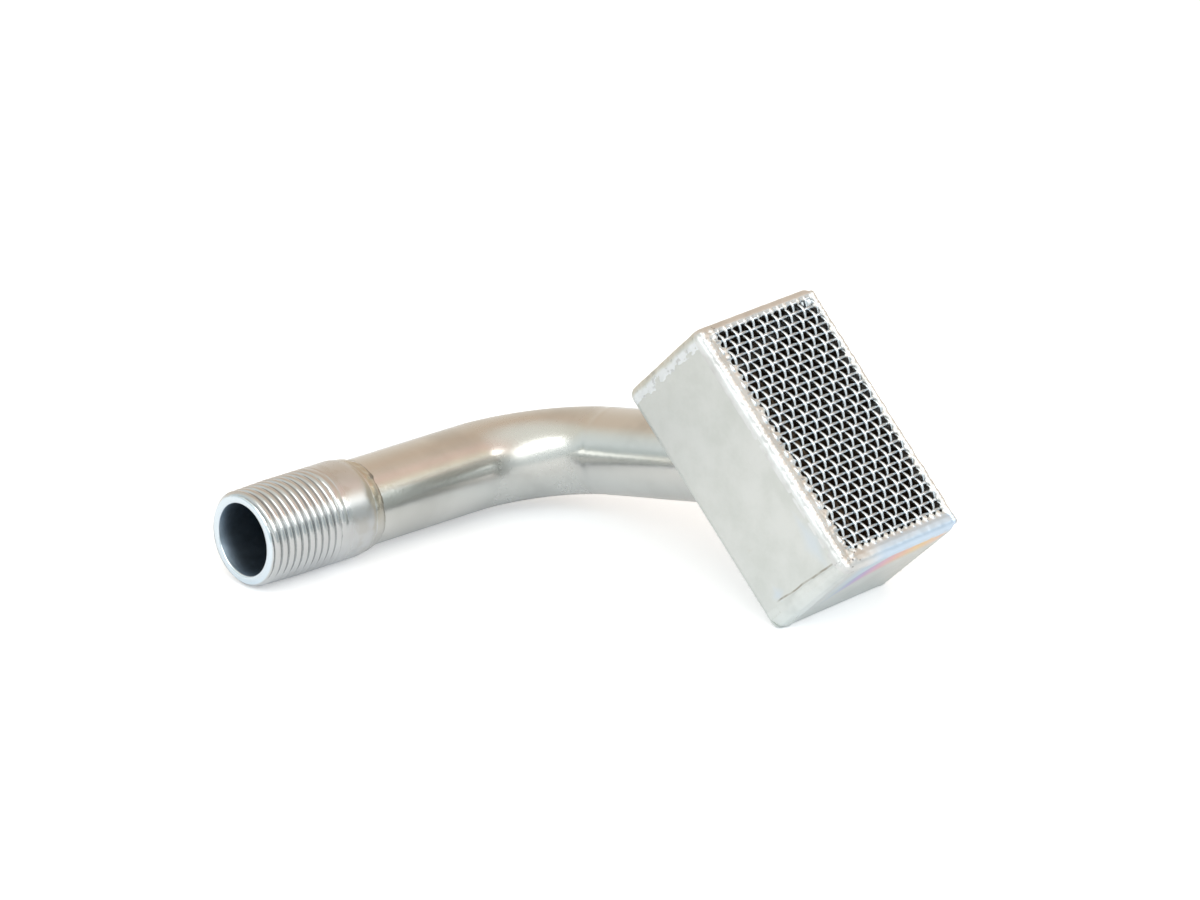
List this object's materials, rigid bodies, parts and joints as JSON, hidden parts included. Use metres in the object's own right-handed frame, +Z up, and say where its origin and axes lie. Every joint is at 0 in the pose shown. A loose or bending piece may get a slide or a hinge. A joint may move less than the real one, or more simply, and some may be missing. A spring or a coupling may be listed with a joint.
{
  "type": "oil pickup tube",
  "caption": "Bent steel oil pickup tube with a tapered-thread pipe nipple at one end and a box strainer closed by a woven wire screen at the other.",
  "frame": {"origin": "under the middle of the part's box, on the surface that it lies on", "axes": "+X along the thread's axis, from the nipple's end face into the tube; the tube turns off towards -Y to the strainer; +Z up"},
  "size_m": [0.1114, 0.1144, 0.06],
  "materials": {
    "nipple_steel": "bright zinc plate on turned steel",
    "tube_steel": "bright zinc plate on drawn tube, glossy",
    "sheet_steel": "satin zinc plate on cold-rolled sheet, with heat tint by the welds",
    "wire_steel": "bright zinc-plated wire",
    "weld_steel": "bright rippled weld metal under zinc plate"
  },
  "bodies": {
    "root": {"threaded_nipple": "nipple_steel", "nipple_weld": "weld_steel", "pickup_tube": "tube_steel", "tube_weld": "weld_steel", "strainer_pan": "sheet_steel", "corner_weld_upper_left": "weld_steel", "corner_weld_upper_right": "weld_steel", "corner_weld_lower_left": "weld_steel", "corner_weld_lower_right": "weld_steel", "mesh_screen": "wire_steel", "screen_weld": "weld_steel"}
  },
  "joints": []
}
